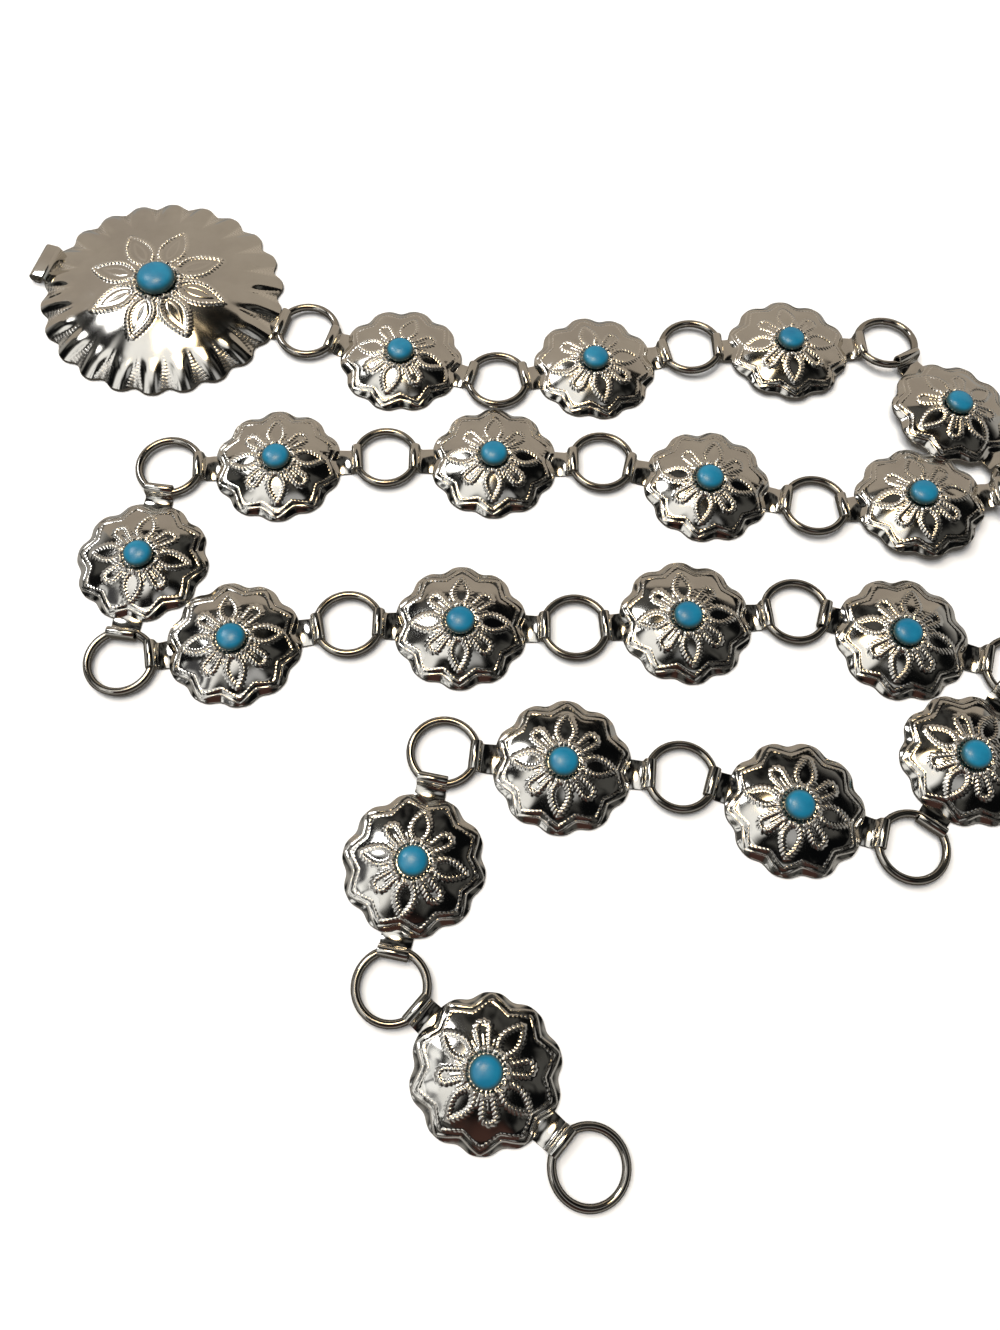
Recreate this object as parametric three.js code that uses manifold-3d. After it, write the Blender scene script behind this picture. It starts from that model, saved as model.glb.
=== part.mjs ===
// A concho belt of nickel silver and turquoise, laid on a table in four rows.
// A large domed buckle concho leads. Eighteen small domed conchos follow it. Round wire rings
// join them: each concho has a flat tab at either end, folded over the wire of a ring.
// The last ring is free, and any ring can be hung on the hook at the buckle's other end.
// Millimetres, +Z up. The origin is on the table, under the middle of the belt as it lies.

import * as THREE from 'three';
import { mergeVertices } from 'three/addons/utils/BufferGeometryUtils.js';
import Module from 'manifold-3d';

const wasm = await Module();
wasm.setup();

// Sheet, wire and clearances
const sheet = 0.55;
const ringWire = 1.7;
const slip = 0.25;
const tabPlay = 1.0;
const stoneSeatGap = 0.15;

// Wire rings
const ringDiameter = 15.24;
const ringSegments = 12;
const wireSides = 5;

// Small conchos, measured from lobe tip to lobe tip
const conchoDiameter = 28.5;
const conchoRise = 3.4;
const conchoLobes = 10;
const conchoLobeDepth = 0.95;
const rimLand = 0.8;

// Folded tabs of the small conchos
const tabWidth = 6.0;
const tabFlat = 1.7;
const tabLip = 1.6;
const tabTaper = 0.76;
const tabBend = 0.9;

// Buckle concho, a slight oval that is longest along the belt
const buckleLength = 58;
const buckleWidth = 56;
const buckleRise = 5.8;
const buckleLobes = 22;
const buckleLobeDepth = 1.5;
const buckleSheet = 0.7;
const buckleTabWidth = 8.4;
const buckleTabFlat = 0.9;

// Hook at the buckle's free end
const hookWidth = 9.6;
const hookReach = 4.9;
const hookLip = 0.8;

// Turquoise cabochons
const stoneDiameter = 6.2;
const stoneHeight = 1.7;
const buckleStoneDiameter = 9.0;
const buckleStoneHeight = 2.3;
const stoneGirdle = 0.45;
const stoneSides = 10;

// How the belt lies, from the buckle to the free end. One row for each small concho.
// heading: degrees from +X of the concho's long axis, from the ring before it to the ring after.
// playIn, playOut: share of the tab play by which each ring has slid inwards.
// sideIn, sideOut: share of the tab width by which the rings sit to the left of that axis.
// roll, pitch: degrees by which the concho leans about its long axis and lifts its rear end.
const buckleHeading = -13.4;
const bucklePlayOut = 1;
const layout = [
  [-13.5, 1, 0.09, 1, 0.09, 0, 0],
  [14.9, 1, 0.04, 1, 0.05, 0, 0],
  [4.9, 1, 0.1, 1, 0.11, -2.7, 0],
  [-55.2, 1, -0.15, 0.39, -0.06, -5.8, -1.3],
  [188, 0.77, -0.17, 0.76, -0.18, 4.2, 3.8],
  [170.1, 0.1, 0.02, 0.06, 0.01, 0, 0],
  [182.4, 0, 0, 0.11, -0.02, 0, 0],
  [186.8, 0.05, 0, 0.52, -0.04, 0, 0],
  [-93.6, 1, 0.17, 0.68, 0.17, 0, 0],
  [13.5, 0.8, -0.04, 0.22, -0.03, 0, 0],
  [2.3, 0.55, -0.03, 0.11, -0.01, 0, 0],
  [7.8, 0.43, 0.03, 0.58, 0.03, 0, 0],
  [-13.7, 1, -0.16, 0.11, -0.03, 0, 0],
  [-123.1, 0.68, -0.17, 1, -0.17, 0, 0],
  [165.5, 0.67, 0.12, 0.76, 0.12, 0, 0],
  [177, 0.3, -0.02, 0.19, -0.02, 0, 0],
  [-98.3, 1, 0.17, 1, 0.17, 0, 0],
  [-37.7, 1, -0.03, 0.1, -0.01, 0, 0],
];

const ringRadius = (ringDiameter - ringWire) / 2;
const foldRadius = ringWire / 2 + slip;
const degrees = THREE.MathUtils.degToRad;

const silverColour = 0xb9b4a6;
const turquoiseColour = 0x1f8fae;

function silver() {
  return new THREE.MeshStandardMaterial({ color: silverColour, roughness: 0.22, metalness: 1 });
}

function turquoise() {
  return new THREE.MeshStandardMaterial({ color: turquoiseColour, roughness: 0.2, metalness: 0 });
}

// Geometry to solid and back, for joining pieces that are one piece of metal.
function solidOf(geometry) {
  const bare = geometry.clone();
  bare.deleteAttribute('normal');
  bare.deleteAttribute('uv');
  const merged = mergeVertices(bare, 1e-4);
  const corners = merged.index.array;
  const kept = [];
  for (let i = 0; i < corners.length; i += 3) {
    const [a, b, c] = [corners[i], corners[i + 1], corners[i + 2]];
    if (a !== b && b !== c && c !== a) kept.push(a, b, c);
  }
  return new wasm.Manifold(new wasm.Mesh({
    numProp: 3,
    vertProperties: Float32Array.from(merged.getAttribute('position').array),
    triVerts: Uint32Array.from(kept),
  }));
}

function geometryOf(solid) {
  const mesh = solid.getMesh();
  const geometry = new THREE.BufferGeometry();
  geometry.setAttribute('position', new THREE.BufferAttribute(mesh.vertProperties, 3));
  geometry.setIndex(new THREE.BufferAttribute(mesh.triVerts, 1));
  return geometry;
}

// A profile of [radius, height] pairs, turned about the vertical axis. The first corner is on +X.
function turned(profile, segments) {
  const points = profile.map(([radius, height]) => new THREE.Vector2(radius, height));
  const geometry = new THREE.LatheGeometry(points, segments, Math.PI / 2);
  geometry.rotateX(Math.PI / 2);
  return geometry;
}

// Three corners to each lobe: one in the valley, two at the full radius. A valley lies on the
// long axis at both ends, where the tabs leave the rim. The lobes fade out up the dome.
const cornersPerLobe = 3;
const lobeFade = 4;

function scallop(geometry, radius, lobes, depth, widthShare) {
  const position = geometry.getAttribute('position');
  const fullAt = Math.sin(Math.PI / cornersPerLobe);
  for (let i = 0; i < position.count; i += 1) {
    const x = position.getX(i);
    const y = position.getY(i);
    const reach = Math.hypot(x, y) / radius;
    const lobe = Math.min(1, Math.abs(Math.sin(lobes * Math.atan2(y, x) / 2)) / fullAt);
    const shrink = 1 - (depth / radius) * (1 - lobe) * reach ** lobeFade;
    position.setXY(i, x * shrink, y * shrink * widthShare);
  }
  return geometry;
}

// A domed sheet with a scalloped rim, hollow underneath, standing on its narrow rim land. The
// dome's slope turns once, at this share of its radius.
const midShare = 0.6;

function domedShell(radius, rise, thickness, lobes, depth, widthShare) {
  const height = (share) => rise * (1 - share ** 2);
  const profile = [
    [0, rise],
    [radius * midShare, height(midShare)],
    [radius - rimLand, 0],
    [radius, 0],
    [radius, thickness],
    [radius * midShare, height(midShare) + thickness],
    [0, rise + thickness],
  ];
  const shell = turned(profile, lobes * cornersPerLobe);
  return solidOf(scallop(shell, radius, lobes, depth, widthShare));
}

// A closed outline of a ribbon of even thickness along a path of [along, height] pairs.
function ribbonShape(path, thickness) {
  const points = path.map(([along, height]) => new THREE.Vector2(along, height));
  const left = [];
  const right = [];
  points.forEach((point, i) => {
    const before = points[Math.max(i - 1, 0)];
    const after = points[Math.min(i + 1, points.length - 1)];
    const into = point.clone().sub(before).normalize();
    const out = after.clone().sub(point).normalize();
    const tangent = into.add(out).normalize();
    const miter = out.lengthSq() > 0 && i > 0 ? Math.abs(tangent.dot(out)) : 1;
    const normal = new THREE.Vector2(-tangent.y, tangent.x).multiplyScalar(thickness / 2 / miter);
    left.push(point.clone().add(normal));
    right.push(point.clone().sub(normal));
  });
  return new THREE.Shape([...left, ...right.reverse()]);
}

// A strip that leaves a rim, steps up, runs over a ring's wire, and folds back under it.
const foldSteps = 4;

function foldedStrip({ root, step, fold, lipEnd, width, taper, thickness }) {
  const low = thickness / 2;
  const bendRadius = foldRadius + thickness / 2;
  const middle = low + bendRadius;
  const path = [
    [root, low],
    [step - tabBend, low],
    [step, middle],
    [step + tabBend, low + 2 * bendRadius],
  ];
  for (let i = 0; i <= foldSteps; i += 1) {
    const angle = Math.PI / 2 - Math.PI * (i / foldSteps);
    path.push([fold + bendRadius * Math.cos(angle), middle + bendRadius * Math.sin(angle)]);
  }
  path.push([lipEnd, low]);
  const strip = new THREE.ExtrudeGeometry(ribbonShape(path, thickness), {
    depth: width, steps: 1, bevelEnabled: false, curveSegments: 1,
  });
  strip.rotateX(Math.PI / 2);
  strip.translate(0, width / 2, 0);
  const position = strip.getAttribute('position');
  const end = fold + bendRadius;
  for (let i = 0; i < position.count; i += 1) {
    const share = THREE.MathUtils.clamp((position.getX(i) - step) / (end - step), 0, 1);
    position.setY(i, position.getY(i) * (1 - (1 - taper) * share));
  }
  return solidOf(strip);
}

// Where a ring's wire crosses a tab's middle when the belt is pulled straight. The straight
// fold touches the round ring at the fold's two corners, and a flat side of the faceted ring
// stands a little inside its true circle.
function tabSizes(valleyRadius, flat, width, thickness) {
  const innerRadius = ringRadius - ringWire / 2;
  const halfFold = width * tabTaper / 2;
  const bow = innerRadius - Math.sqrt(innerRadius ** 2 - halfFold ** 2);
  const flatSide = ringRadius * (1 - Math.cos(Math.PI / ringSegments));
  const step = valleyRadius + flat + thickness / 2;
  const wireAt = step + thickness / 2 + foldRadius + tabPlay;
  return { step, fold: wireAt + bow + flatSide, wireAt, height: thickness + foldRadius, width };
}

const conchoRadius = conchoDiameter / 2;
const conchoValley = conchoRadius - conchoLobeDepth;
const conchoTab = tabSizes(conchoValley, tabFlat, tabWidth, sheet);
const buckleRadius = buckleLength / 2;
const buckleValley = buckleRadius - buckleLobeDepth;
const buckleTab = tabSizes(buckleValley, buckleTabFlat, buckleTabWidth, buckleSheet);

function tabStrip(tab, valleyRadius, thickness) {
  return foldedStrip({
    root: valleyRadius - rimLand / 2,
    step: tab.step,
    fold: tab.fold,
    lipEnd: tab.fold - tabLip,
    width: tab.width,
    taper: tabTaper,
    thickness,
  });
}

function conchoGeometry() {
  const tab = tabStrip(conchoTab, conchoValley, sheet);
  const shell = domedShell(conchoRadius, conchoRise, sheet, conchoLobes, conchoLobeDepth, 1);
  return geometryOf(shell.add(tab).add(tab.rotate([0, 0, 180])));
}

function buckleGeometry() {
  const widthShare = buckleWidth / buckleLength;
  const shell = domedShell(
    buckleRadius, buckleRise, buckleSheet, buckleLobes, buckleLobeDepth, widthShare);
  const tab = tabStrip(buckleTab, buckleValley, buckleSheet);
  const fold = buckleValley + hookReach - foldRadius - buckleSheet;
  const hook = foldedStrip({
    root: buckleValley - rimLand,
    step: buckleValley,
    fold,
    lipEnd: fold - hookLip,
    width: hookWidth,
    taper: 1,
    thickness: buckleSheet,
  });
  return geometryOf(shell.add(tab).add(hook.rotate([0, 0, 180])));
}

function ringGeometry() {
  return new THREE.TorusGeometry(ringRadius, ringWire / 2, wireSides, ringSegments);
}

// A flat-backed cabochon on top of a dome.
function stoneGeometry(diameter, height, rise, thickness) {
  const radius = diameter / 2;
  const base = rise + thickness + stoneSeatGap;
  const shoulder = 0.7;
  const crown = stoneGirdle + (height - stoneGirdle) * shoulder;
  return turned([
    [0, base],
    [radius, base],
    [radius, base + stoneGirdle],
    [radius * shoulder, base + crown],
    [0, base + height],
  ], stoneSides);
}

function named(name, geometry, material) {
  const mesh = new THREE.Mesh(geometry, material);
  mesh.name = name;
  return mesh;
}

function numbered(name, index) {
  return `${name}_${String(index + 1).padStart(2, '0')}`;
}

// Turns a group to its heading and lean, and lifts it until its lowest corner is on the table.
function laid(group, geometry, [x, y], heading, roll, pitch) {
  group.rotation.set(degrees(roll), degrees(pitch), degrees(heading), 'ZYX');
  const corner = new THREE.Vector3();
  const position = geometry.getAttribute('position');
  let lowest = Infinity;
  for (let i = 0; i < position.count; i += 1) {
    corner.fromBufferAttribute(position, i).applyEuler(group.rotation);
    lowest = Math.min(lowest, corner.z);
  }
  group.position.set(x, y, -lowest);
  group.updateMatrixWorld(true);
  return group;
}

// A point that lies a distance along a heading and a distance to its left.
function walked([x, y], heading, along, left) {
  const angle = degrees(heading);
  return [
    x + along * Math.cos(angle) - left * Math.sin(angle),
    y + along * Math.sin(angle) + left * Math.cos(angle),
  ];
}

// The two places where a ring's wire enters a tab, on one end (1 or -1) of a laid concho.
function mouths(group, tab, end) {
  return [1, -1].map((side) => group.localToWorld(
    new THREE.Vector3(end * tab.wireAt, side * tab.width / 2, tab.height)));
}

// A ring lies in the plane that fits best through the given points, level with their mean.
function ringIn(name, [x, y], points) {
  const sums = new THREE.Matrix3().set(0, 0, 0, 0, 0, 0, 0, 0, 0);
  const totals = new THREE.Vector3();
  const s = sums.elements;
  points.forEach((point) => {
    const row = [1, point.x - x, point.y - y];
    row.forEach((a, i) => row.forEach((b, j) => { s[3 * j + i] += a * b; }));
    totals.add(new THREE.Vector3(...row).multiplyScalar(point.z));
  });
  const plane = totals.applyMatrix3(sums.invert());
  const normal = new THREE.Vector3(-plane.y, -plane.z, 1).normalize();
  const ring = named(name, ringGeometry(), silver());
  ring.position.set(x, y, plane.x);
  ring.quaternion.setFromUnitVectors(new THREE.Vector3(0, 0, 1), normal);
  return ring;
}

const belt = new THREE.Group();

const buckleShape = buckleGeometry();
const buckle = laid(new THREE.Group(), buckleShape, [0, 0], buckleHeading, 0, 0);
buckle.add(named('buckle', buckleShape, silver()));
buckle.add(named('buckle_stone', stoneGeometry(
  buckleStoneDiameter, buckleStoneHeight, buckleRise, buckleSheet), turquoise()));
belt.add(buckle);

const conchoShape = conchoGeometry();
const stoneShape = stoneGeometry(stoneDiameter, stoneHeight, conchoRise, sheet);
let before = { group: buckle, tab: buckleTab };
let ringPlace = walked(
  [0, 0], buckleHeading, buckleTab.wireAt + ringRadius - bucklePlayOut * tabPlay, 0);

layout.forEach(([heading, playIn, sideIn, playOut, sideOut, roll, pitch], index) => {
  const taut = conchoTab.wireAt + ringRadius;
  const middle = walked(ringPlace, heading, taut - playIn * tabPlay, -sideIn * tabWidth);
  const concho = laid(new THREE.Group(), conchoShape, middle, heading, roll, pitch);
  concho.add(named(numbered('concho', index), conchoShape, silver()));
  concho.add(named(numbered('stone', index), stoneShape, turquoise()));
  belt.add(concho);
  belt.add(ringIn(numbered('ring', index), ringPlace, [
    ...mouths(before.group, before.tab, 1),
    ...mouths(concho, conchoTab, -1),
  ]));
  before = { group: concho, tab: conchoTab };
  ringPlace = walked(middle, heading, taut - playOut * tabPlay, sideOut * tabWidth);
});

// The free ring leans from the last tab down to the table.
const lastHeading = layout.at(-1)[0];
const farSide = walked(ringPlace, lastHeading, ringRadius, 0);
belt.add(ringIn(numbered('ring', layout.length), ringPlace, [
  ...mouths(before.group, before.tab, 1),
  new THREE.Vector3(...farSide, ringWire / 2),
]));

// The origin goes under the middle of the whole belt.
belt.updateMatrixWorld(true);
const extent = new THREE.Box3().setFromObject(belt, true);
const middleOfBelt = extent.getCenter(new THREE.Vector3());
belt.position.set(-middleOfBelt.x, -middleOfBelt.y, -extent.min.z);

export default belt;
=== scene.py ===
# %% [markdown]
# A concho belt of nickel silver and turquoise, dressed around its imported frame. The frame holds
# every piece as a plain solid, in its real place. Each cell below takes one kind of piece, says
# what it is on the real belt, and gives it the shape and finish that a jeweller would see.

import math

import bmesh
import bpy
import numpy as np
from mathutils import Matrix, Vector


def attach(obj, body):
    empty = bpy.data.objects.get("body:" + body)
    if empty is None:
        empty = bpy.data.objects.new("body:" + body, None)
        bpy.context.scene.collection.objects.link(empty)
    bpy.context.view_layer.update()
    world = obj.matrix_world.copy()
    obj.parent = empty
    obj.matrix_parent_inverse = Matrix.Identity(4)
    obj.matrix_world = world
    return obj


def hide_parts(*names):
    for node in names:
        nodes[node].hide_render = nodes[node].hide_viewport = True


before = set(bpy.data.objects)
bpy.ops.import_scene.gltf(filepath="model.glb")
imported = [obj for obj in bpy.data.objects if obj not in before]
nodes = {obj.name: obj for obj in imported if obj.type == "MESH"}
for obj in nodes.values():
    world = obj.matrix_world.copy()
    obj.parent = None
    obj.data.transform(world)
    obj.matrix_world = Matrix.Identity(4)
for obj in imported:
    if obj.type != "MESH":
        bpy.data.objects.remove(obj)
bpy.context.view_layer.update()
scene = bpy.context.scene
print("frame:", len(nodes), "nodes")

# %% [markdown]
# Lengths in this file are in millimetres, as a silversmith would give them, and become metres
# only when a piece is put in its place. These sizes are those of the solids. The lobes of a rim
# have four more: how high they swell out of the dome, the level that they swell from, the share
# of the radius at which they start, and how much of the swelling is left at the rim.

# %% Sizes shared with the solids
MM = 0.001
SHEET = 0.55
WIRE = 1.7
SLIP = 0.25
WIRE_HEIGHT = SHEET + SLIP + WIRE / 2
RING_RADIUS = 6.77
CONCHO = {
    "radius": 14.25, "rise": 3.4, "sheet": SHEET, "width": 1.0,
    "lobes": 10, "lobe_depth": 0.95, "valley": 3.6,
    "lobe_rise": 0.25, "lobe_level": 0.4, "lobe_start": 0.8, "lobe_at_rim": 0.9,
}
BUCKLE = {
    "radius": 29.0, "rise": 5.8, "sheet": 0.7, "width": 56 / 58,
    "lobes": 22, "lobe_depth": 1.5, "valley": 3.0,
    "lobe_rise": 0.45, "lobe_level": 0.3, "lobe_start": 0.7, "lobe_at_rim": 0.5,
}
CONCHO_TAB = {"width": 6.4, "taper": 0.92, "sheet": 0.45}
BUCKLE_TAB = {"width": 8.4, "taper": 0.8, "sheet": 0.5}
BUCKLE_HOOK = {"reach": 4.9, "width": 9.6, "sheet": 0.7, "lip": 0.8, "bend": 0.9, "root": 0.8}
CONCHO_STONE = {"radius": 3.1, "height": 1.7}
BUCKLE_STONE = {"radius": 4.5, "height": 2.3}
STONE_SEAT = 0.15
print("small concho", 2 * CONCHO["radius"], "mm across, buckle", 2 * BUCKLE["radius"], "mm")

# %% [markdown]
# Every concho was laid with its own heading and lean, so each detailed piece has to take the
# place of its solid. A solid's own corners tell it: their middle, their longest direction (along
# the two tabs) and their thinnest direction (straight up through the dome).

# %% Read the place of a solid


def corners_of(name):
    """The separate corners of a solid, in millimetres."""
    points = np.array([vertex.co for vertex in nodes[name].data.vertices]) / MM
    return np.unique(points.round(3), axis=0)


def upright(direction):
    """The same line, pointing up."""
    return direction if direction[2] > 0 else -direction


def axes_of(points):
    """The middle of some corners, their longest direction, and their thinnest one, upright."""
    middle = points.mean(axis=0)
    axes = np.linalg.eigh(np.cov((points - middle).T))[1]
    return middle, axes[:, 2], upright(axes[:, 0])


def place_from(middle, ahead, up):
    """A matrix that takes a piece in millimetres at the origin to its place in metres."""
    left = np.cross(up, ahead)
    columns = [Vector(axis) * MM for axis in (ahead, left, up)]
    turn = Matrix([list(axis) for axis in columns]).transposed().to_4x4()
    return Matrix.Translation(Vector(middle) * MM) @ turn


def concho_place(name):
    """Where a concho stands: the middle of its base, with +X along its tabs."""
    points = corners_of(name)
    middle, ahead, up = axes_of(points)
    base = middle + up * ((points - middle) @ up).min()
    return place_from(base, ahead, up)


def ring_place(name):
    """Where a ring lies: its middle, with +Z through it."""
    return place_from(*axes_of(corners_of(name)))


def buckle_place():
    """The buckle lies flat, with its tab towards the first ring."""
    stone = corners_of("buckle_stone").mean(axis=0)
    ring = corners_of("ring_01").mean(axis=0)
    ahead = np.array([ring[0] - stone[0], ring[1] - stone[1], 0.0])
    ahead /= np.linalg.norm(ahead)
    return place_from([stone[0], stone[1], 0.0], ahead, np.array([0.0, 0.0, 1.0]))


print("first concho stands at", [round(v, 4) for v in concho_place("concho_01").translation])

# %% [markdown]
# The photograph was taken from nearly overhead, a hand's length above the belt, so the far row
# looks flatter than the near one. The camera takes that place, with its small tilt.

# %% Camera
CAMERA_AT = Vector((-3.04, -92.13, 216.18)) * MM
CAMERA_ELEVATION = math.radians(68.61)
CAMERA_YAW = math.radians(0.49)
CAMERA_TILT = math.radians(-3.53)
CAMERA_LENS = 29.74

forward = Vector((
    math.sin(CAMERA_YAW) * math.cos(CAMERA_ELEVATION),
    math.cos(CAMERA_YAW) * math.cos(CAMERA_ELEVATION),
    -math.sin(CAMERA_ELEVATION),
))
level_right = Vector((math.cos(CAMERA_YAW), -math.sin(CAMERA_YAW), 0))
level_up = level_right.cross(forward)
camera_right = level_right * math.cos(CAMERA_TILT) - level_up * math.sin(CAMERA_TILT)
camera_up = level_right * math.sin(CAMERA_TILT) + level_up * math.cos(CAMERA_TILT)

camera_data = bpy.data.cameras.new("camera")
camera_data.lens = CAMERA_LENS
camera_data.sensor_width = 36
camera_data.clip_start = 0.005
camera = bpy.data.objects.new("camera", camera_data)
scene.collection.objects.link(camera)
turn = Matrix([camera_right, camera_up, -forward]).transposed().to_4x4()
camera.matrix_world = Matrix.Translation(CAMERA_AT) @ turn
scene.camera = camera
print("camera", round(CAMERA_AT.z / MM), "mm up")

# %% [markdown]
# A stamped line is what a maker punches into the sheet: a run of small ticks, called milling, on
# a low ridge. A bump in the material could hint at it, but polished metal shows its real slopes,
# so the ticks are raised in the mesh. A line here is a list of points. `stamped` measures how
# near each point of the sheet is to the nearest line, and how far along it that is.

# %% Measure from a stamped line
TICK_SLANT = 0.6


def stamped(points, lines):
    """For each point: distance to the nearest line, and the place along it with a slant."""
    nearest = np.full(len(points), np.inf)
    along = np.zeros(len(points))
    for line in lines:
        walked = 0.0
        for start, end in zip(line[:-1], line[1:]):
            step = end - start
            length = float(np.hypot(*step))
            offset = points - start
            share = np.clip(offset @ step / length ** 2, 0, 1)
            gap = offset - share[:, None] * step
            distance = np.hypot(gap[:, 0], gap[:, 1])
            side = np.sign(step[0] * offset[:, 1] - step[1] * offset[:, 0])
            closer = distance < nearest
            nearest[closer] = distance[closer]
            slant = TICK_SLANT * side[closer] * distance[closer]
            along[closer] = walked + share[closer] * length + slant
            walked += length
    return nearest, along


ten_along = [np.array([[0.0, 0.0], [10.0, 0.0]])]
print("from a line along +X:", [v.round(1).tolist() for v in stamped(np.eye(2), ten_along)])

# %% [markdown]
# The punch leaves a rounded ridge, wide and high at each tick and less so between two. Some lines
# are only scored, and have no ticks.

# %% Raise a stamped line
WIDTH_BETWEEN_TICKS = 0.6
HEIGHT_BETWEEN_TICKS = 0.5


def ridge(distance, width):
    """A smooth ridge: 1 on the line, 0 at half its width."""
    return np.cos(np.clip(distance / (width / 2), 0, 1) * math.pi / 2) ** 2


def ticks(along, pitch):
    """1 at each tick along a line, 0 half-way between two."""
    return 0.5 + 0.5 * np.cos(math.tau * along / pitch)


def share_above(least, share):
    """A share from 0 to 1, pressed together so that it starts at the least one."""
    return least + (1 - least) * share


def smooth_step(share):
    """0 up to 0, 1 from 1 on, and a slope with soft ends between."""
    share = np.clip(share, 0, 1)
    return share * share * (3 - 2 * share)


def plain_ridge(points, lines, width):
    """A smooth ridge along some lines."""
    return ridge(stamped(points, lines)[0], width)


def milled_ridge(points, lines, width, pitch):
    """A row of short bars across some lines: wide and high at each tick, less so between."""
    distance, along = stamped(points, lines)
    tick = ticks(along, pitch)
    bars = ridge(distance, width * share_above(WIDTH_BETWEEN_TICKS, tick))
    return bars * share_above(HEIGHT_BETWEEN_TICKS, tick)


print("a ridge half-way down is", round(float(ridge(0.25, 1.0)), 2), "high")

# %% [markdown]
# The patterns are drawn with few kinds of line: a pointed leaf, a petal with a round end, a
# straight spoke and a zigzag. Each is drawn once along +X, then turned to its places.

# %% Draw leaves, petals, spokes and zigzags
LEAF_POINTS = 18
LEAF_BLUNTNESS = 0.8
LEAF_FULLNESS = 0.85
LOOP_POINTS = 10


def turned_line(line, angle):
    """A line turned about the middle of the disc."""
    c, s = math.cos(angle), math.sin(angle)
    return line @ np.array([[c, s], [-s, c]])


def leaf(start, end, half_width):
    """Both edges of a pointed leaf that lies along +X."""
    share = np.linspace(0, 1, LEAF_POINTS)
    along = start + (end - start) * share
    out = half_width * np.sin(math.pi * share ** LEAF_BLUNTNESS) ** LEAF_FULLNESS
    return [np.stack([along, out], 1), np.stack([along, -out], 1)]


def loop(start, end, half_width, neck):
    """One edge of a petal with a round end: out on one side, round, and back."""
    middle = end - half_width
    angle = np.linspace(math.pi / 2, -math.pi / 2, LOOP_POINTS)
    cap = np.stack([middle + half_width * np.cos(angle), half_width * np.sin(angle)], 1)
    return np.concatenate([[[start, neck]], cap, [[start, -neck]]])


def spoke(start, end):
    """A straight line along +X."""
    return np.array([[start, 0.0], [end, 0.0]])


def zigzag(lobes, inner, outer):
    """A closed star line, with its points out at the middles of the lobes."""
    corner = np.arange(2 * lobes + 1)
    angle = corner * math.pi / lobes
    radius = np.where(corner % 2, outer, inner)
    return np.stack([radius * np.cos(angle), radius * np.sin(angle)], 1)


print("a zigzag has", len(zigzag(CONCHO["lobes"], 1, 2)) - 1, "strokes")

# %% [markdown]
# A concho is one disc of sheet, domed in a swage, cut to lobes round its rim, then stamped. The
# mesh starts as one outline seen in section, spun into a closed disc. A flat grid would cut the
# rim in steps. The spin gives rows of corners that run out from the stone, so the lobes and
# petals follow them. A corner's height says only whether it is on top (1), on the underside (0)
# or on the edge between.

# %% Spin a disc of sheet
EDGE_BREAK = 0.1
EDGE_LEVELS = (0.7, 0.3)
SAME_PLACE = 1e-5
CONCHO_ROWS = {"hub": 2.9, "top": 72, "under": 3, "turns": 280}
BUCKLE_ROWS = {"hub": 4.4, "top": 100, "under": 5, "turns": 396}


def spun(section, turns):
    """A closed body from half of its section, which starts and ends on the axis."""
    body = bmesh.new()
    line = [body.verts.new((out, 0, up)) for out, up in section]
    edges = [body.edges.new(pair) for pair in zip(line[:-1], line[1:])]
    bmesh.ops.spin(
        body, geom=line + edges, cent=(0, 0, 0), axis=(0, 0, 1), angle=math.tau,
        steps=turns, use_merge=True)
    bmesh.ops.remove_doubles(body, verts=body.verts, dist=SAME_PLACE)
    bmesh.ops.recalc_face_normals(body, faces=body.faces)
    return body


def spun_disc(radius, rows):
    """A closed disc, with more rows of corners on its top than on its underside."""
    section = [(0, 1)]
    section += [(out, 1) for out in np.linspace(rows["hub"], radius - EDGE_BREAK, rows["top"])]
    section += [(radius, level) for level in EDGE_LEVELS]
    section += [(out, 0) for out in np.linspace(radius - EDGE_BREAK, 0, rows["under"])]
    return spun(section, rows["turns"])


flat_concho = spun_disc(CONCHO["radius"], CONCHO_ROWS)
flat_buckle = spun_disc(BUCKLE["radius"], BUCKLE_ROWS)
print("disc corners:", len(flat_concho.verts), "and", len(flat_buckle.verts))

# %% [markdown]
# The small concho carries four long leaves and four short looped petals round its stone, short
# spokes at their feet, a collar of bars, and a double zigzag inside its rim. The table gives each
# kind of line its width, how far it stands proud and how rough its milling is. The rim's zigzags
# run between two shares of the radius.

# %% Draw the small concho
QUARTER = math.tau / 4
SMALL_TICK = 0.78
SMALL_FOOT = 3.9
SMALL_LEAF = {"start": SMALL_FOOT, "end": 10.7, "half_width": 1.8}
SMALL_LOOP = {"start": SMALL_FOOT, "end": 8.9, "half_width": 1.3, "neck": 0.8}
SMALL_SPOKES = [
    {"lean": -0.36, "end": 6.0},
    {"lean": 0.0, "end": 6.6},
    {"lean": 0.36, "end": 6.0},
]
SMALL_LINES = {
    "petal": {"width": 1.9, "height": 0.28, "milling": 1.0},
    "spoke": {"width": 0.8, "height": 0.12, "milling": 0.6},
    "border": {"width": 0.8, "height": 0.16, "milling": 1.0, "inner": 0.77, "outer": 0.9},
    "thin": {"width": 0.55, "height": 0.14, "milling": 0.8, "inner": 0.86, "outer": 0.975},
    "collar": {"width": 1.7, "height": 0.3, "milling": 1.0, "radius": 3.95, "bars": 24},
}


def small_petals():
    """The edges of four leaves, and of four loops half-way between them."""
    edges = []
    for k in range(4):
        edges += [turned_line(line, k * QUARTER) for line in leaf(**SMALL_LEAF)]
        edges.append(turned_line(loop(**SMALL_LOOP), (k + 0.5) * QUARTER))
    return edges


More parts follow.
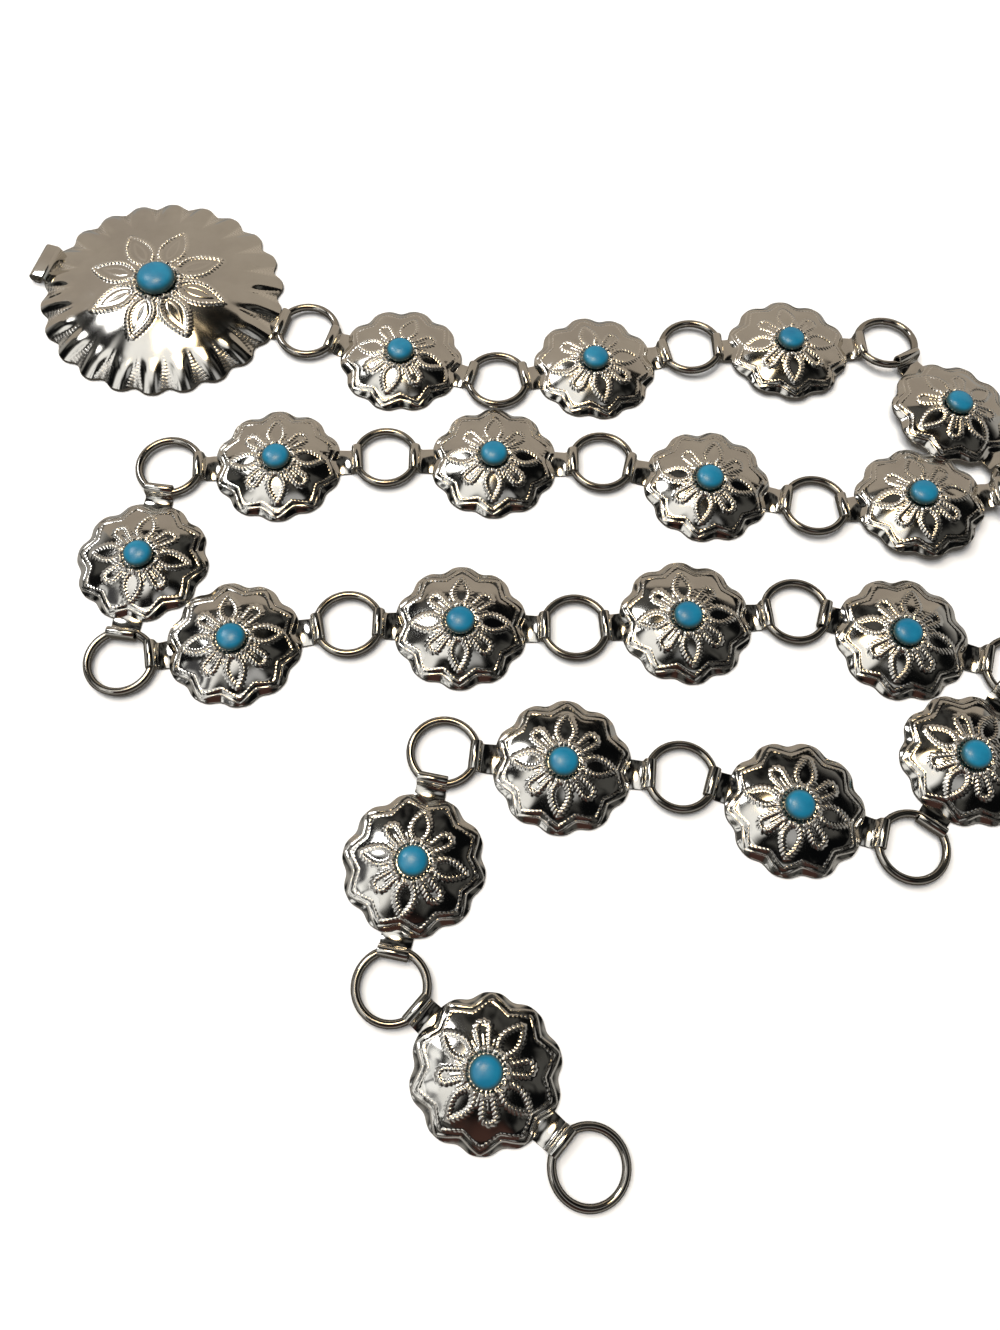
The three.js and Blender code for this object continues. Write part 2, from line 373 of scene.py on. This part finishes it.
def small_spokes():
    """A spoke inside each loop, and one on either side of it."""
    return [
        turned_line(spoke(SMALL_FOOT, row["end"]), (k + 0.5) * QUARTER + row["lean"])
        for k in range(4) for row in SMALL_SPOKES]


def rim_zigzag(line):
    """A zigzag inside the rim of the small concho."""
    radius = CONCHO["radius"]
    return [zigzag(CONCHO["lobes"], line["inner"] * radius, line["outer"] * radius)]


print("small concho:", len(small_petals()), "petal edges,", len(small_spokes()), "spokes")

# %% [markdown]
# All the marks of a disc are worked out together, so that they can be added up where they cross.
# The collar is a ridge round the stone, notched into bars.

# %% Mark the small concho
LEAST_COLLAR = 0.35


def collar_of_bars(radius, angle, collar):
    """Short bars that stand round the stone like the rays of a sun."""
    bars = share_above(LEAST_COLLAR, ticks(angle, math.tau / collar["bars"]))
    return ridge(np.abs(radius - collar["radius"]), collar["width"]) * bars


def small_marks(points, radius, angle):
    """Each kind of mark on the small concho, from 0 off it to 1 on it."""
    petal, border = SMALL_LINES["petal"], SMALL_LINES["border"]
    spokes, thin = SMALL_LINES["spoke"], SMALL_LINES["thin"]
    return {
        "petal": milled_ridge(points, small_petals(), petal["width"], SMALL_TICK),
        "spoke": plain_ridge(points, small_spokes(), spokes["width"]),
        "border": milled_ridge(points, rim_zigzag(border), border["width"], SMALL_TICK),
        "thin": plain_ridge(points, rim_zigzag(thin), thin["width"]),
        "collar": collar_of_bars(radius, angle, SMALL_LINES["collar"]),
    }


print("small concho has", len(SMALL_LINES), "kinds of mark")

# %% [markdown]
# The buckle is the same work at twice the size: twenty-two deep lobes, a milled wedge stamped
# inwards from each valley of the rim, and eight leaves with a faint smaller leaf in each.

# %% Draw the buckle
EIGHTH = math.tau / 8
BUCKLE_TICK = 0.95
BUCKLE_LEAF = {"start": 5.2, "end": 16.8, "half_width": 2.9}
BUCKLE_VEIN = {"start": 7.0, "end": 13.8, "half_width": 1.0}
BUCKLE_SPOKE = {"start": 5.4, "end": 8.2}
BUCKLE_LINES = {
    "leaf": {"width": 2.1, "height": 0.36, "milling": 1.0},
    "vein": {"width": 0.9, "height": 0.06, "milling": 0.3},
    "wedge": {"height": 0.28, "milling": 1.0},
    "collar": {"width": 1.8, "height": 0.36, "milling": 1.0, "radius": 5.45, "bars": 30},
}
WEDGE = {"half_width": 2.1, "tip": 0.69, "foot": 0.98, "side": 0.9, "slant": 0.8, "least": 0.45}


def buckle_leaves():
    """The edges of eight leaves."""
    return [turned_line(line, k * EIGHTH) for k in range(8) for line in leaf(**BUCKLE_LEAF)]


def buckle_veins():
    """A small leaf in each leaf, and a spoke between two leaves."""
    veins = []
    for k in range(8):
        veins += [turned_line(line, k * EIGHTH) for line in leaf(**BUCKLE_VEIN)]
        veins.append(turned_line(spoke(**BUCKLE_SPOKE), (k + 0.5) * EIGHTH))
    return veins


def milled_wedges(radius, angle):
    """A triangle on each valley of the rim, which points inwards and is milled in chevrons."""
    from_valley = np.abs((angle * BUCKLE["lobes"] / math.tau + 0.5) % 1 - 0.5)
    across = from_valley * math.tau / BUCKLE["lobes"] * radius
    length = WEDGE["foot"] - WEDGE["tip"]
    widened = np.clip((radius / BUCKLE["radius"] - WEDGE["tip"]) / length, 0, 1)
    inside = smooth_step((WEDGE["half_width"] * widened - across) / WEDGE["side"])
    chevrons = ticks(radius + WEDGE["slant"] * across, BUCKLE_TICK)
    return inside * share_above(WEDGE["least"], chevrons)


def buckle_marks(points, radius, angle):
    """Each kind of mark on the buckle, from 0 off it to 1 on it."""
    edge, vein = BUCKLE_LINES["leaf"], BUCKLE_LINES["vein"]
    return {
        "leaf": milled_ridge(points, buckle_leaves(), edge["width"], BUCKLE_TICK),
        "vein": plain_ridge(points, buckle_veins(), vein["width"]),
        "wedge": milled_wedges(radius, angle),
        "collar": collar_of_bars(radius, angle, BUCKLE_LINES["collar"]),
    }


print("buckle:", len(buckle_leaves()), "leaf edges,", BUCKLE["lobes"], "wedges")

# %% [markdown]
# Now the disc is pressed: cut to lobes at the rim, domed, swelled at each lobe and raised along
# its marks. A displace modifier could do it from an image. Worked out for each corner, the
# relief stays sharp, and needs no image. The same corners note how milled they are, which the
# material reads.

# %% Stamp a disc
LOBE_ONSET = 4


def lobe_height(angle, size):
    """0 in the valley between two lobes, 1 at a lobe's middle."""
    return 1 - np.abs(np.cos(size["lobes"] * angle / 2)) ** size["valley"]


def lobe_swelling(angle, reach, size):
    """How far the lobes stand out of the dome: they start, are full, and turn down to the rim."""
    way = (reach - size["lobe_start"]) / (1 - size["lobe_start"])
    turned_down = (1 - size["lobe_at_rim"]) * np.clip(2 * way - 1, 0, 1) ** 2
    shape = smooth_step(2 * way) * (1 - turned_down)
    return size["lobe_rise"] * (lobe_height(angle, size) - size["lobe_level"]) * shape


def stamp_disc(disc, size, lines, marks_of):
    """Cuts the rim to lobes, raises the dome and its marks, and notes where it is milled."""
    co = np.array([vertex.co for vertex in disc.verts])
    x, y, level = co[:, 0], co[:, 1], co[:, 2]
    top = np.isclose(level, 1)
    radius = np.hypot(x, y)
    reach = radius / size["radius"]
    angle = np.arctan2(y, x)
    marks = marks_of(np.stack([x, y], 1), radius, angle)
    relief = sum(lines[kind]["height"] * mark for kind, mark in marks.items())
    milled = np.maximum.reduce([lines[kind]["milling"] * mark for kind, mark in marks.items()])
    dome = size["rise"] * (1 - reach ** 2)
    height = dome + level * (size["sheet"] + lobe_swelling(angle, reach, size)) + top * relief
    cut_back = size["lobe_depth"] / size["radius"] * (1 - lobe_height(angle, size))
    shrink = 1 - cut_back * reach ** LOBE_ONSET
    milled_layer = disc.verts.layers.float.new("milled")
    for i, vertex in enumerate(disc.verts):
        vertex.co = (x[i] * shrink[i], y[i] * shrink[i] * size["width"], height[i])
        vertex[milled_layer] = milled[i] * top[i]
    return disc


concho_disc = stamp_disc(flat_concho, CONCHO, SMALL_LINES, small_marks)
buckle_disc = stamp_disc(flat_buckle, BUCKLE, BUCKLE_LINES, buckle_marks)
print("concho rises to", round(max(vertex.co.z for vertex in concho_disc.verts), 2), "mm")

# %% [markdown]
# Tabs and the hook are tongues of sheet. A strip is drawn as one bent line, pulled out to its
# width, given its thickness, and its edges are broken a little, as a file would.

# %% Bend a strip
BROKEN_EDGE = 0.09
SHARP_EDGE = math.radians(60)


def bent_strip(path, width, end_width, sheet):
    """A strip of sheet that follows a path seen from the side, and narrows to its end."""
    strip = bmesh.new()
    line = [strip.verts.new((x, -width / 2, z)) for x, z in path]
    edges = [strip.edges.new(pair) for pair in zip(line[:-1], line[1:])]
    pulled = bmesh.ops.extrude_edge_only(strip, edges=edges)["geom"]
    moved = [item for item in pulled if isinstance(item, bmesh.types.BMVert)]
    bmesh.ops.translate(strip, verts=moved, vec=(0, width, 0))
    start = path[0][0]
    end = max(x for x, z in path)
    for vertex in strip.verts:
        share = (vertex.co.x - start) / (end - start)
        vertex.co.y *= 1 - (1 - end_width / width) * share
    bmesh.ops.recalc_face_normals(strip, faces=strip.faces)
    bmesh.ops.solidify(strip, geom=strip.faces, thickness=sheet)
    lowest = min(vertex.co.z for vertex in strip.verts)
    bmesh.ops.translate(strip, verts=strip.verts, vec=(0, 0, -lowest))
    bmesh.ops.recalc_face_normals(strip, faces=strip.faces)
    sharp = [edge for edge in strip.edges if edge.calc_face_angle(0) > SHARP_EDGE]
    bmesh.ops.bevel(
        strip, geom=sharp, offset=BROKEN_EDGE, offset_type="OFFSET", segments=2, profile=0.5,
        affect="EDGES", material=-1)
    return strip


print("edges broken by", BROKEN_EDGE, "mm")

# %% [markdown]
# A tab leaves the rim, goes up over the wire of a ring, and is folded back under it. The hook at
# the buckle's free end steps up and folds down, with a narrow throat. The fold table says how
# deep a tab is rooted in the dome, how it leaves the rim, how it steps up, how near it hugs the
# wire, and how far its lip comes back.

# %% Fold the tabs and the hook
FOLD = {
    "root": 0.9, "root_rise": 0.35, "leave": 0.2, "leave_rise": 0.1,
    "step": 0.5, "step_end": 0.12, "step_rise": 0.3, "hug": 0.15, "lip": 0.8,
}
TAB_TURN = np.linspace(math.pi * 0.95, -math.pi / 2, 18)
HOOK_TURN = np.linspace(math.pi / 2, -math.pi / 2, 14)
HOOK_STEPS = (0.25, 0.5, 0.75, 1.0)


def tab_strip(size, tab, wire_at):
    """A tab along +X, folded round a wire that crosses it at the given place."""
    low = tab["sheet"] / 2
    bend = WIRE / 2 + FOLD["hug"] + low
    rise = WIRE_HEIGHT - low
    valley = size["radius"] - size["lobe_depth"]
    path = [
        (valley - FOLD["root"], low + FOLD["root_rise"]),
        (valley + FOLD["leave"], low + FOLD["leave_rise"]),
        (wire_at - bend - FOLD["step"], low),
        (wire_at - bend - FOLD["step_end"], low + FOLD["step_rise"]),
    ]
    path += [
        (wire_at + bend * math.cos(angle), WIRE_HEIGHT + rise * math.sin(angle))
        for angle in TAB_TURN]
    path.append((wire_at - FOLD["lip"], low))
    return bent_strip(path, tab["width"], tab["width"] * tab["taper"], tab["sheet"])


def hook_strip(size, hook):
    """The hook along +X: a step up, and a short fold down."""
    low = hook["sheet"] / 2
    rise = WIRE / 2 + SLIP + low
    valley = size["radius"] - size["lobe_depth"]
    fold = valley + hook["reach"] - WIRE / 2 - SLIP - hook["sheet"]
    path = [(valley - hook["root"], low), (valley - hook["bend"], low)]
    path += [
        (valley + hook["bend"] * (2 * share - 1), low + 2 * rise * float(smooth_step(share)))
        for share in HOOK_STEPS]
    path += [
        (fold + rise * math.cos(angle), low + rise + rise * math.sin(angle))
        for angle in HOOK_TURN]
    path.append((fold - hook["lip"], low))
    return bent_strip(path, hook["width"], hook["width"], hook["sheet"])


print("a tab rises to", round(2 * WIRE_HEIGHT, 2), "mm over its wire")

# %% [markdown]
# On the belt each ring lies a little differently in its two tabs. So every tab is folded for the
# place where its own ring crosses it, and the fold hugs the wire.

# %% Join a strip to its disc


def join(body, strip, side):
    """Adds a strip to a body, at its +X end (1) or its -X end (-1)."""
    if side < 0:
        bmesh.ops.rotate(
            strip, verts=strip.verts, cent=(0, 0, 0), matrix=Matrix.Rotation(math.pi, 3, "Z"))
    mesh = bpy.data.meshes.new("strip")
    strip.to_mesh(mesh)
    strip.free()
    body.from_mesh(mesh)
    bpy.data.meshes.remove(mesh)


def wire_in_tab(place, ring_name, tab):
    """Where a ring's wire crosses a tab, and 1 or -1 for the end of the disc it is at."""
    ring = Vector(corners_of(ring_name).mean(axis=0)) * MM
    middle = place.inverted() @ ring
    side = 1 if middle.x > 0 else -1
    half = tab["width"] * tab["taper"] / 2
    crossings = [
        abs(middle.x) - math.sqrt(RING_RADIUS ** 2 - (y - middle.y) ** 2)
        for y in (0, half, -half)]
    return (crossings[0] + max(crossings[1:])) / 2, side


def add_tab(body, place, ring_name, size, tab):
    """Adds a tab to a body, closed round one ring."""
    wire_at, side = wire_in_tab(place, ring_name, tab)
    join(body, tab_strip(size, tab, wire_at), side)


first_wire = wire_in_tab(concho_place("concho_01"), "ring_02", CONCHO_TAB)[0]
print("ring_02 crosses its tab", round(first_wire, 2), "mm from the middle of concho_01")

# %% [markdown]
# Rings are round wire, bent to a circle and soldered. A torus would do as well, but a small
# circle spun about the ring's middle is the way the discs and stones are made too. Each stone is
# a cabochon, a low polished dome of turquoise on a straight girdle.

# %% Rings and stones
RING_SIDES = 12
RING_STEPS = 56
STONE_STEPS = 32
STONE_ROWS = 9
STONE_GIRDLE = 0.45
STONE_SHOULDER = 0.9
# Painted shade: a stone darkens towards its girdle, from this share of its radius, by up to this
# share.
GIRDLE_SHADE_START = 0.74
GIRDLE_SHADE_SHARE = 0.9


def ring_body():
    """A ring of round wire that lies flat round the origin."""
    ring = bmesh.new()
    bmesh.ops.create_circle(ring, cap_ends=False, radius=WIRE / 2, segments=RING_SIDES)
    bmesh.ops.rotate(
        ring, verts=ring.verts, cent=(0, 0, 0), matrix=Matrix.Rotation(math.pi / 2, 3, "X"))
    bmesh.ops.translate(ring, verts=ring.verts, vec=(RING_RADIUS, 0, 0))
    bmesh.ops.spin(
        ring, geom=ring.verts[:] + ring.edges[:], cent=(0, 0, 0), axis=(0, 0, 1),
        angle=math.tau, steps=RING_STEPS, use_merge=True)
    bmesh.ops.recalc_face_normals(ring, faces=ring.faces)
    return ring


def stone_body(size, stone):
    """A cabochon on its seat, whose corners note how much painted shade they get near its girdle.
    """
    base = size["rise"] + size["sheet"] + STONE_SEAT
    girdle = base + STONE_GIRDLE
    dome = stone["height"] - STONE_GIRDLE
    section = [(0, base), (stone["radius"], base), (stone["radius"], girdle)]
    section += [
        (stone["radius"] * math.cos(angle) ** STONE_SHOULDER, girdle + dome * math.sin(angle))
        for angle in np.linspace(0, math.pi / 2, STONE_ROWS)[1:]]
    body = spun(section, STONE_STEPS)
    layer = body.verts.layers.float.new("edge")
    for vertex in body.verts:
        reach = math.hypot(vertex.co.x, vertex.co.y) / stone["radius"]
        near = (reach - GIRDLE_SHADE_START) / (1 - GIRDLE_SHADE_START)
        vertex[layer] = float(smooth_step(near)) * GIRDLE_SHADE_SHARE
    return body


wire_ring = ring_body()
small_stone = stone_body(CONCHO, CONCHO_STONE)
large_stone = stone_body(BUCKLE, BUCKLE_STONE)
print("ring corners:", len(wire_ring.verts), "stone corners:", len(small_stone.verts))

# %% [markdown]
# Materials are small trees of nodes. One helper turns a colour from the hex value that a painter
# would pick to the linear values that light adds up in, and one adds a node. A pattern's scale
# comes from its real size.

# %% Helpers for materials


def linear(hex_colour):
    """An sRGB hex value as linear red, green, blue and 1."""
    channels = [int(hex_colour[i:i + 2], 16) / 255 for i in (1, 3, 5)]
    curve = [c / 12.92 if c <= 0.04045 else ((c + 0.055) / 1.055) ** 2.4 for c in channels]
    return (*curve, 1.0)


def add(tree, kind, settings=None, **links):
    """Adds a node. A link given as a socket is joined, and anything else is set as a value."""
    node = tree.nodes.new(kind)
    for name, value in (settings or {}).items():
        setattr(node, name, value)
    for name, value in links.items():
        key = int(name[1:]) if name[0] == "i" and name[1:].isdigit() else name.replace("_", " ")
        socket = node.inputs[key]
        if isinstance(value, bpy.types.NodeSocket):
            tree.links.new(value, socket)
        else:
            socket.default_value = value
    return node


def new_material(name):
    """A material and its shader."""
    material = bpy.data.materials.new(name)
    material.use_nodes = True
    return material, material.node_tree.nodes["Principled BSDF"]


def scale_of(size):
    """The scale of a pattern whose patches have this size in millimetres."""
    return 1 / (size * MM)


print("mid grey #808080 is", round(linear("#808080")[0], 3), "in linear light")

# %% [markdown]
# Nickel silver is a white copper alloy that polishes almost like a mirror. Hand polishing leaves
# a faint haze in patches of a few millimetres, and the sheet is never quite even, so what it
# mirrors swims a little. Milled lines are cut by many small ticks, so they are rougher, and a
# paler tone is painted on them as a sheen, for the light that their ticks catch. The drawn wire
# of the rings is a little darker than the sheet.

# %% Polished nickel silver
HAZE = 4.55
UNEVENNESS = 6.67
UNEVEN_BY = 0.06
FINEST_POLISH = 0.07
DULLEST_POLISH = 0.13
MILLING_ROUGHNESS = 0.22
MILLED_SHEEN_COLOUR = "#fbf8f2"


def nickel_silver(name, bright_colour, dull_colour, milling):
    """Polished nickel silver, hazed between two tones. Milled sheet is rougher, with a painted
    paler sheen.
    """
    material, shader = new_material(name)
    tree = material.node_tree
    shader.inputs["Metallic"].default_value = 1.0
    place = add(tree, "ShaderNodeTexCoord").outputs["Object"]
    haze = add(
        tree, "ShaderNodeTexNoise", Vector=place, Scale=scale_of(HAZE),
        Detail=3.0).outputs["Fac"]
    waves = add(
        tree, "ShaderNodeTexNoise", Vector=place, Scale=scale_of(UNEVENNESS),
        Detail=1.0).outputs["Fac"]
    tone = add(
        tree, "ShaderNodeMix", {"data_type": "RGBA"},
        i0=haze, i6=linear(bright_colour), i7=linear(dull_colour)).outputs[2]
    roughness = add(
        tree, "ShaderNodeMapRange", Value=haze, From_Min=0.3, From_Max=0.7,
        To_Min=FINEST_POLISH, To_Max=DULLEST_POLISH).outputs["Result"]
    height = add(
        tree, "ShaderNodeMath", {"operation": "MULTIPLY"},
        i0=waves, i1=UNEVEN_BY * MM).outputs[0]
    if milling:
        milled = add(tree, "ShaderNodeAttribute", {"attribute_name": "milled"}).outputs["Fac"]
        roughness = add(
            tree, "ShaderNodeMath", {"operation": "MULTIPLY_ADD"},
            i0=milled, i1=MILLING_ROUGHNESS, i2=roughness).outputs[0]
        # Painted sheen: a paler tone on milled lines, for the light that their ticks catch.
        tone = add(
            tree, "ShaderNodeMix", {"data_type": "RGBA"},
            i0=milled, i6=tone, i7=linear(MILLED_SHEEN_COLOUR)).outputs[2]
    tree.links.new(tone, shader.inputs["Base Color"])
    tree.links.new(roughness, shader.inputs["Roughness"])
    bump = add(tree, "ShaderNodeBump", Strength=1.0, Distance=1.0, Height=height)
    tree.links.new(bump.outputs["Normal"], shader.inputs["Normal"])
    return material


stamped_silver = nickel_silver("stamped_nickel_silver", "#e8e6e1", "#d8d5ce", milling=True)
wire_silver = nickel_silver("drawn_nickel_silver_wire", "#c6c2bb", "#b4afa7", milling=False)
print("metals:", stamped_silver.name, "and", wire_silver.name)

# %% [markdown]
# Turquoise is an opaque stone with a waxy polish, duller than glass. Its blue is a little uneven,
# and a painted brown-green shade darkens it towards its girdle, where it meets the metal.

# %% Polished turquoise
CLOUD = 3.85


def turquoise():
    """Turquoise clouded between two blues, with a painted brown-green shade towards its girdle."""
    material, shader = new_material("polished_turquoise")
    tree = material.node_tree
    place = add(tree, "ShaderNodeTexCoord").outputs["Object"]
    cloud = add(
        tree, "ShaderNodeTexNoise", Vector=place, Scale=scale_of(CLOUD),
        Detail=4.0).outputs["Fac"]
    tone = add(
        tree, "ShaderNodeMix", {"data_type": "RGBA"},
        i0=cloud, i6=linear("#085478"), i7=linear("#2487a6")).outputs[2]
    edge = add(tree, "ShaderNodeAttribute", {"attribute_name": "edge"}).outputs["Fac"]
    # Painted shade: darker brown-green towards the girdle, where the stone meets the metal.
    matrix = add(
        tree, "ShaderNodeMix", {"data_type": "RGBA"},
        i0=edge, i6=tone, i7=linear("#24423f")).outputs[2]
    tree.links.new(matrix, shader.inputs["Base Color"])
    shader.inputs["Roughness"].default_value = 0.27
    shader.inputs["IOR"].default_value = 1.61
    return material


polished_turquoise = turquoise()
print("stone:", polished_turquoise.name)

# %% [markdown]
# Now each solid is dressed: its detailed body is copied, turned and moved to the place that was
# read from the solid, and named as standing for it. The move is made in the mesh, so every
# object stays at the origin, where the frame expects it.

# %% Put the pieces in place
SMOOTH_BELOW = math.radians(40)


def put(body, name, place, node, material):
    """Puts a copy of a body in its place. Nothing sinks into the table, which is at height 0."""
    mesh = bpy.data.meshes.new(name)
    body.to_mesh(mesh)
    mesh.transform(place)
    for vertex in mesh.vertices:
        vertex.co.z = max(vertex.co.z, 0)
    mesh.materials.append(material)
    mesh.shade_smooth()
    mesh.set_sharp_from_angle(angle=SMOOTH_BELOW)
    piece = bpy.data.objects.new(name, mesh)
    scene.collection.objects.link(piece)
    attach(piece, "root")
    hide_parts(node)


for name in sorted(nodes):
    kind, _, number = name.partition("_")
    if kind == "concho":
        place = concho_place(name)
        body = concho_disc.copy()
        for ring_number in (int(number), int(number) + 1):
            add_tab(body, place, f"ring_{ring_number:02d}", CONCHO, CONCHO_TAB)
        put(body, "stamped_" + name, place, name, stamped_silver)
        stone = "stone_" + number
        put(small_stone, "set_" + stone, place, stone, polished_turquoise)
    elif kind == "ring":
        put(wire_ring, "wire_" + name, ring_place(name), name, wire_silver)

place = buckle_place()
add_tab(buckle_disc, place, "ring_01", BUCKLE, BUCKLE_TAB)
join(buckle_disc, hook_strip(BUCKLE, BUCKLE_HOOK), -1)
put(buckle_disc, "stamped_buckle", place, "buckle", stamped_silver)
put(large_stone, "set_buckle_stone", place, "buckle_stone", polished_turquoise)

# %% [markdown]
# The belt lies on white. The photograph was trimmed to white after it was taken, so its metal
# doesn't mirror a white table. The table here takes shadows but is left out of reflections.

# %% Table
TABLE_HALF = 3.0

floor_mesh = bpy.data.meshes.new("table")
floor_shape = bmesh.new()
bmesh.ops.create_grid(floor_shape, x_segments=1, y_segments=1, size=TABLE_HALF)
floor_shape.to_mesh(floor_mesh)
floor = bpy.data.objects.new("table", floor_mesh)
scene.collection.objects.link(floor)
table_white, table_shader = new_material("pale_table")
table_shader.inputs["Base Color"].default_value = linear("#f8f8f8")
table_shader.inputs["Roughness"].default_value = 0.6
floor_mesh.materials.append(table_white)
floor.visible_glossy = False
print("table", 2 * TABLE_HALF, "m wide")

# %% [markdown]
# Polished metal shows the room more than itself, so the room is part of the likeness. An image
# of a studio would bring the wrong one. This one is painted in the world's shader, in soft round
# patches. Each lies towards a direction, is full within its inner angle, and ends at its outer
# one, in degrees. A later patch covers an earlier one.

# %% What is in the room
ROOM_PATCHES = {
    "walls": {
        "towards": (0.0, 0.0, -1.0), "inner": 106, "outer": 120, "colour": "#a5a29d", "glow": 1.0},
    "below_table": {
        "towards": (0.0, 0.0, -1.0), "inner": 70, "outer": 86, "colour": "#4e4a44", "glow": 1.0},
    "pale_ceiling_left": {
        "towards": (-0.5, -0.2, 0.84), "inner": 7, "outer": 15, "colour": "#e4e3e0", "glow": 1.3},
    "pale_ceiling_overhead": {
        "towards": (-0.26, 0.06, 0.96), "inner": 9, "outer": 16, "colour": "#ecebe8", "glow": 1.3},
    "window": {
        "towards": (-0.54, 0.43, 0.83), "inner": 4, "outer": 9, "colour": "#ffffff", "glow": 9.0},
    "lamp": {
        "towards": (-0.14, 0.22, 0.97), "inner": 3, "outer": 9, "colour": "#ffe3b4", "glow": 12.0},
    "grey_ceiling_right": {
        "towards": (0.16, -0.16, 0.97), "inner": 2, "outer": 9, "colour": "#b4b4b4", "glow": 1.0},
    "brown_shape_in_front": {
        "towards": (0.0, -0.75, 0.6), "inner": 10, "outer": 24, "colour": "#46302a", "glow": 1.0},
}
print("the room has", len(ROOM_PATCHES), "patches")

# %% [markdown]
# Behind the patches is a dark ceiling with pale clutter, which a noise stands for.

# %% Paint the room
CLUTTER_SCALE = 3.2

world = bpy.data.worlds.new("room")
scene.world = world
world.use_nodes = True
room = world.node_tree
scene.view_settings.view_transform = "Standard"


def with_patch(under, direction, patch):
    """The room's colour with one soft round patch over it."""
    facing = add(
        room, "ShaderNodeVectorMath", {"operation": "DOT_PRODUCT"},
        i0=direction, i1=Vector(patch["towards"]).normalized()).outputs["Value"]
    share = add(
        room, "ShaderNodeMapRange", {"interpolation_type": "SMOOTHSTEP"}, Value=facing,
        From_Min=math.cos(math.radians(patch["outer"])),
        From_Max=math.cos(math.radians(patch["inner"]))).outputs["Result"]
    colour = [channel * patch["glow"] for channel in linear(patch["colour"])[:3]] + [1.0]
    return add(
        room, "ShaderNodeMix", {"data_type": "RGBA"}, i0=share, i6=under, i7=colour).outputs[2]


direction = add(room, "ShaderNodeTexCoord").outputs["Generated"]
clutter = add(
    room, "ShaderNodeTexNoise", Vector=direction, Scale=CLUTTER_SCALE, Detail=2.0).outputs["Fac"]
clutter_share = add(
    room, "ShaderNodeMapRange", {"interpolation_type": "SMOOTHSTEP"},
    Value=clutter, From_Min=0.46, From_Max=0.6).outputs["Result"]
look = add(
    room, "ShaderNodeMix", {"data_type": "RGBA"},
    i0=clutter_share, i6=linear("#08090a"), i7=linear("#4c4b48")).outputs[2]
for patch in ROOM_PATCHES.values():
    look = with_patch(look, direction, patch)
print("the room is painted with", len(room.nodes), "nodes")

# %% [markdown]
# The camera itself sees plain near-white past the table, whatever the metal mirrors.

# %% Show the camera a plain room
seen = add(room, "ShaderNodeLightPath").outputs["Is Camera Ray"]
look = add(
    room, "ShaderNodeMix", {"data_type": "RGBA"},
    i0=seen, i6=look, i7=linear("#f2f2f2")).outputs[2]
room.links.new(look, room.nodes["Background"].inputs["Color"])
print("world:", scene.world.name)

# %% [markdown]
# Two things stood so near the belt that each row shows them in another place on its domes, so
# they have to be real panels: a low beige wall just behind the belt, and a bright, untidy screen
# on the left beside the near rows. Each stands upright over a line from one place to another, in
# millimetres. Only the metal sees them.

# %% Panels that only the metal sees
MOTTLE = 62.5
PANEL_GLOW = 1.3
PANELS = {
    "beige_wall": {
        "from": (-210, 130), "to": (210, 130), "low": 0, "high": 93,
        "colours": ("#90867a", "#968c7f")},
    "left_screen": {
        "from": (-200, -260), "to": (-200, 0), "low": 110, "high": 290,
        "colours": ("#f4f4f2", "#3a3a3c")},
}


def mottled_glow(name, colours):
    """A material that only glows, mottled in two colours."""
    material, shader = new_material(name)
    tree = material.node_tree
    place = add(tree, "ShaderNodeTexCoord").outputs["Object"]
    mottle = add(
        tree, "ShaderNodeTexNoise", Vector=place, Scale=scale_of(MOTTLE),
        Detail=2.0).outputs["Fac"]
    share = add(
        tree, "ShaderNodeMapRange", {"interpolation_type": "SMOOTHSTEP"},
        Value=mottle, From_Min=0.42, From_Max=0.56).outputs["Result"]
    glow = add(
        tree, "ShaderNodeMix", {"data_type": "RGBA"},
        i0=share, i6=linear(colours[0]), i7=linear(colours[1])).outputs[2]
    tree.links.new(glow, shader.inputs["Emission Color"])
    shader.inputs["Base Color"].default_value = linear("#000000")
    shader.inputs["Emission Strength"].default_value = PANEL_GLOW
    return material


def reflected_panel(name, row):
    """An upright panel that the camera doesn't see and that casts no shadow."""
    low_edge = [(*row["from"], row["low"]), (*row["to"], row["low"])]
    high_edge = [(*row["to"], row["high"]), (*row["from"], row["high"])]
    shape = bmesh.new()
    shape.faces.new([shape.verts.new(Vector(corner) * MM) for corner in low_edge + high_edge])
    mesh = bpy.data.meshes.new(name)
    shape.to_mesh(mesh)
    mesh.materials.append(mottled_glow("lit_" + name, row["colours"]))
    panel = bpy.data.objects.new(name, mesh)
    scene.collection.objects.link(panel)
    panel.visible_camera = False
    panel.visible_diffuse = False
    panel.visible_shadow = False


for name, row in PANELS.items():
    reflected_panel(name, row)
print("panels:", ", ".join(PANELS))

# %% [markdown]
# The room alone would leave the table grey. A wide soft lamp lights the table and the stones,
# and is left out of mirror reflections, where the room's own lamp is already drawn.

# %% Soft lamp
soft_light = bpy.data.lights.new("soft_lamp", "AREA")
soft_light.shape = "DISK"
soft_light.size = 1.2
soft_light.energy = 15.5
soft_lamp = bpy.data.objects.new("soft_lamp", soft_light)
soft_lamp.location = (-0.25, 0.2, 1.1)
soft_lamp.rotation_euler = (-soft_lamp.location).to_track_quat("-Z", "Y").to_euler()
soft_lamp.visible_glossy = False
scene.collection.objects.link(soft_lamp)
print("soft lamp", soft_light.energy, "W")
